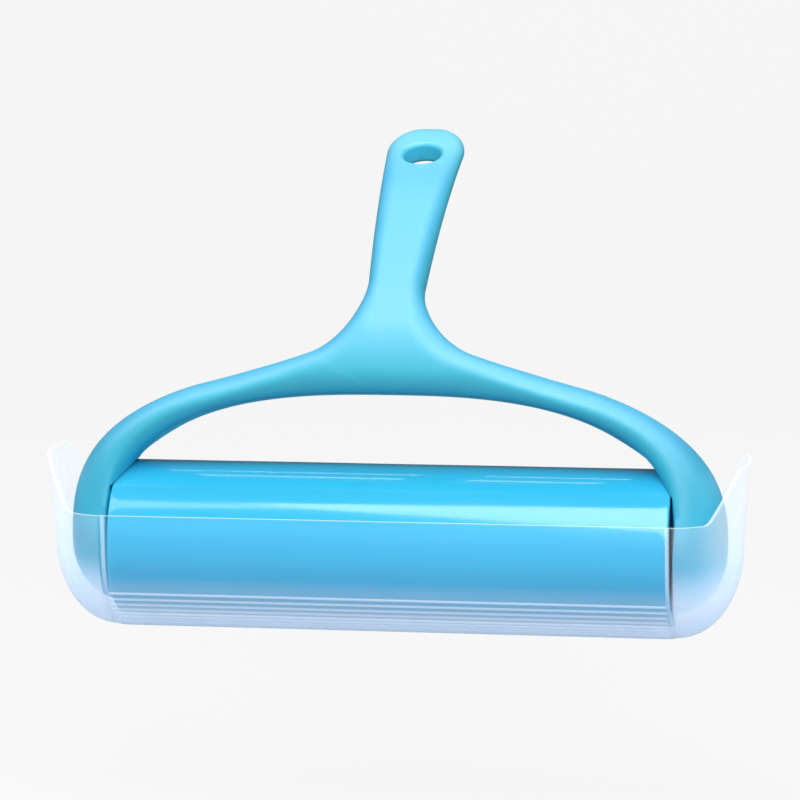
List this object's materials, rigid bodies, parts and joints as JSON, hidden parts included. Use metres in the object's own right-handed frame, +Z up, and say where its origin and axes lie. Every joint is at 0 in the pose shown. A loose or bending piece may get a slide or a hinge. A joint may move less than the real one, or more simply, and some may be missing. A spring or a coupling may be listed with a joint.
{
  "type": "lint roller",
  "caption": "Washable sticky roller turning between the arms of a T-shaped handle with a hanging eye, parked in a ribbed translucent dust cover.",
  "frame": {"origin": "on the roller's axis of rotation, at the middle of its length", "axes": "+X along the roller axis, +Y towards the back where the grip leans, +Z up from the roller to the arch of the handle"},
  "size_m": [0.2282, 0.1102, 0.1524],
  "materials": {
    "handle": "fine satin moulded plastic, light cyan blue",
    "gel": "glossy washable sticky gel, clear blue",
    "tube": "plain extruded plastic",
    "plug": "moulded plastic, blue",
    "bush": "natural low-friction plastic",
    "washer": "natural low-friction plastic",
    "steel": "ground bright steel pin",
    "cover": "milky translucent thin plastic with a polished rim"
  },
  "bodies": {
    "handle": {"handle_front_shell": "handle", "handle_rear_shell": "handle", "left_axle_pin": "steel", "right_axle_pin": "steel", "left_thrust_washer": "washer", "right_thrust_washer": "washer"},
    "roller": {"core_tube": "tube", "sticky_sleeve": "gel", "left_end_plug": "plug", "right_end_plug": "plug", "left_bush": "bush", "right_bush": "bush"},
    "dust_cover": {"dust_cover": "cover"}
  },
  "joints": [
    {"name": "roller_spin", "type": "hinge", "parent": "handle", "child": "roller", "pos_m": [0, 0, 0], "axis": [1, 0, 0], "continuous": true},
    {"name": "cover_pull", "type": "slide", "parent": "handle", "child": "dust_cover", "axis": [0, 0, -1], "range_m": [0, 0.07]}
  ]
}
